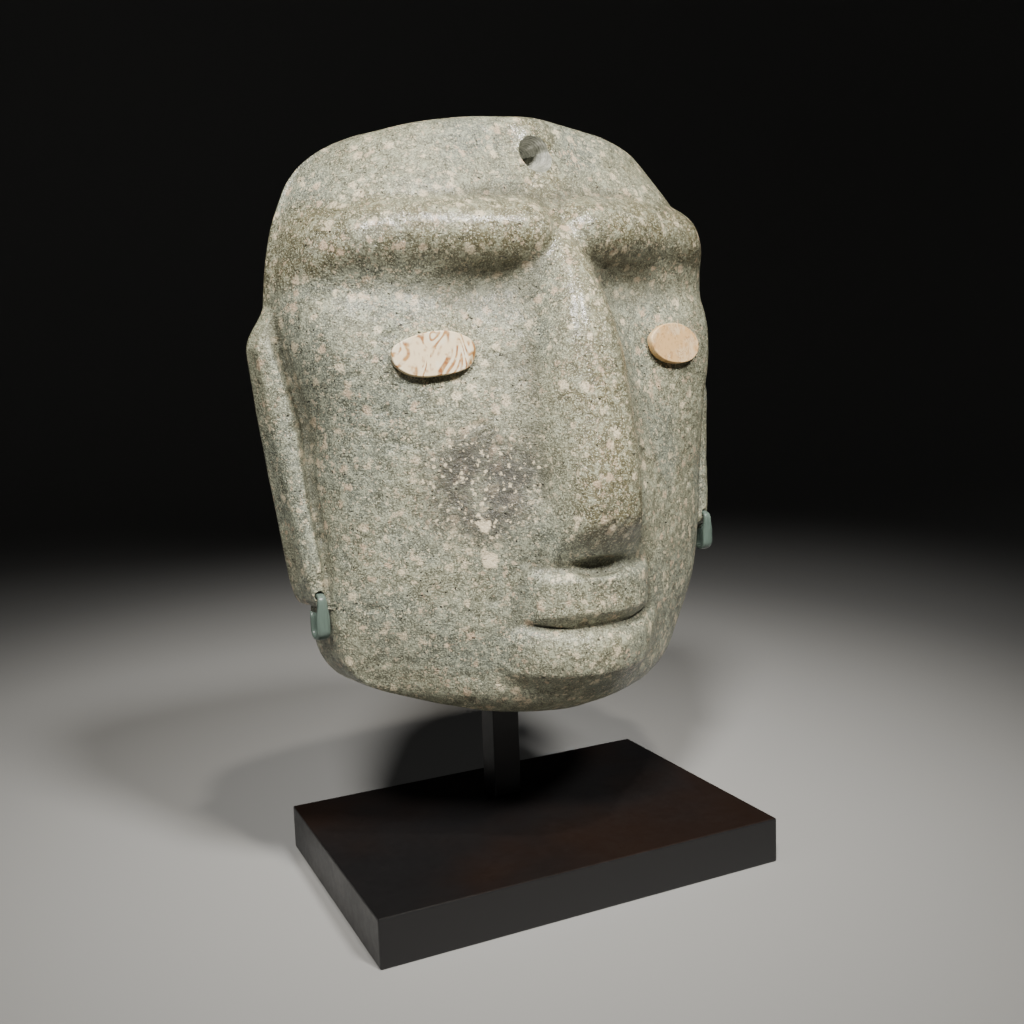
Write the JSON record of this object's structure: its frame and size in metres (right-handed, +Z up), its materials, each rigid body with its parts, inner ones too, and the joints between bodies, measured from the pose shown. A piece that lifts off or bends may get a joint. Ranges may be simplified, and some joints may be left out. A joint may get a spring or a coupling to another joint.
{
  "type": "carved stone mask on display stand",
  "caption": "Carved stone face mask with shell eye discs and hooked ear pendants, held upright by a square post on a rectangular slab, for display on a shelf or table.",
  "frame": {"origin": "centre of the slab's underside, on the surface that the stand rests on", "axes": "+Z up, -Y towards the front that the mask faces, +X towards the right of someone looking at the mask"},
  "size_m": [0.2165, 0.1286, 0.3072],
  "materials": {
    "stone": "worn polish, mottled grey-green",
    "shell": "polished cream shell",
    "green_stone": "polished grey-green stone",
    "black_metal": "satin black",
    "black_lacquer": "satin black lacquer"
  },
  "bodies": {
    "root": {"mask": "stone", "eye_disc_left": "shell", "eye_disc_right": "shell", "ear_hook_left": "green_stone", "ear_hook_right": "green_stone", "post": "black_metal", "base": "black_lacquer"}
  },
  "joints": []
}
